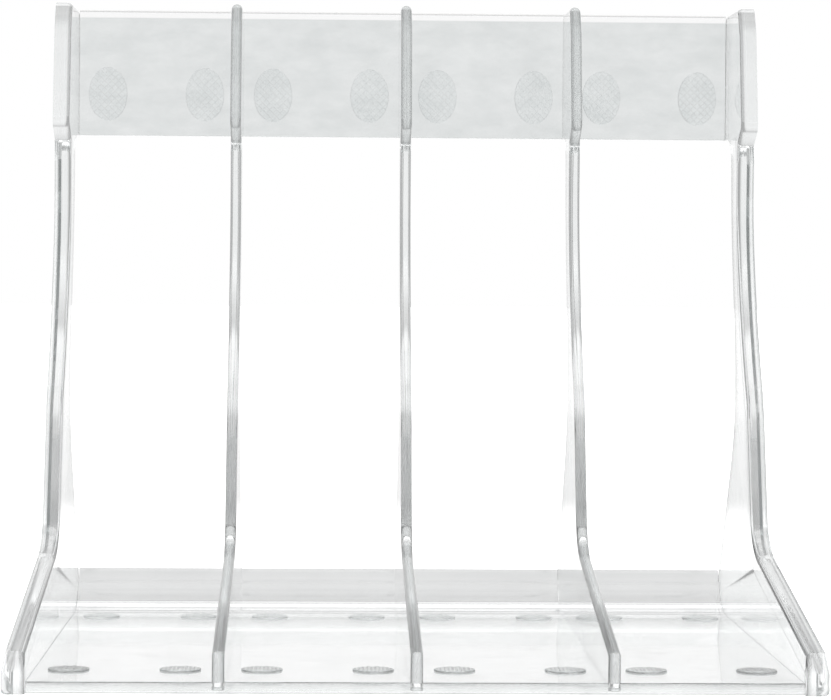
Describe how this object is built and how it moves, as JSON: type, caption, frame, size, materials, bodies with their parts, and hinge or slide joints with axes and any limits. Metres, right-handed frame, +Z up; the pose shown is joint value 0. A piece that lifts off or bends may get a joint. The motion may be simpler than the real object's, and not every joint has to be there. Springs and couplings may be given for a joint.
{
  "type": "chip rack",
  "caption": "Clear plastic casino chip rack with upright bays between profiled divider walls, a back panel at the head, a tray floor with a low coved back, and knurled grip pads.",
  "frame": {"origin": "middle of the footprint, on the surface that the rack stands on", "axes": "+Z is up, the open front with the toes faces -Y, and +X is to the right seen from the front"},
  "size_m": [0.1838, 0.149, 0.1628],
  "materials": {
    "clear_styrene": "clear colourless moulded plastic, glossy, with faint flow marks",
    "clear_vinyl": "clear soft vinyl with a fine diamond knurl, satin"
  },
  "bodies": {
    "root": {"end_wall_left": "clear_styrene", "end_wall_right": "clear_styrene", "divider_left": "clear_styrene", "divider_centre": "clear_styrene", "divider_right": "clear_styrene", "floor_plate": "clear_styrene", "rear_upstand": "clear_styrene", "top_panel": "clear_styrene", "wall_pad_1": "clear_vinyl", "wall_pad_2": "clear_vinyl", "wall_pad_3": "clear_vinyl", "wall_pad_4": "clear_vinyl", "wall_pad_5": "clear_vinyl", "wall_pad_6": "clear_vinyl", "wall_pad_7": "clear_vinyl", "wall_pad_8": "clear_vinyl", "floor_pad_1": "clear_vinyl", "floor_pad_2": "clear_vinyl", "floor_pad_3": "clear_vinyl", "floor_pad_4": "clear_vinyl", "floor_pad_5": "clear_vinyl", "floor_pad_6": "clear_vinyl", "floor_pad_7": "clear_vinyl", "floor_pad_8": "clear_vinyl", "floor_pad_9": "clear_vinyl", "floor_pad_10": "clear_vinyl", "floor_pad_11": "clear_vinyl", "floor_pad_12": "clear_vinyl", "floor_pad_13": "clear_vinyl", "floor_pad_14": "clear_vinyl", "floor_pad_15": "clear_vinyl", "floor_pad_16": "clear_vinyl"}
  },
  "joints": []
}
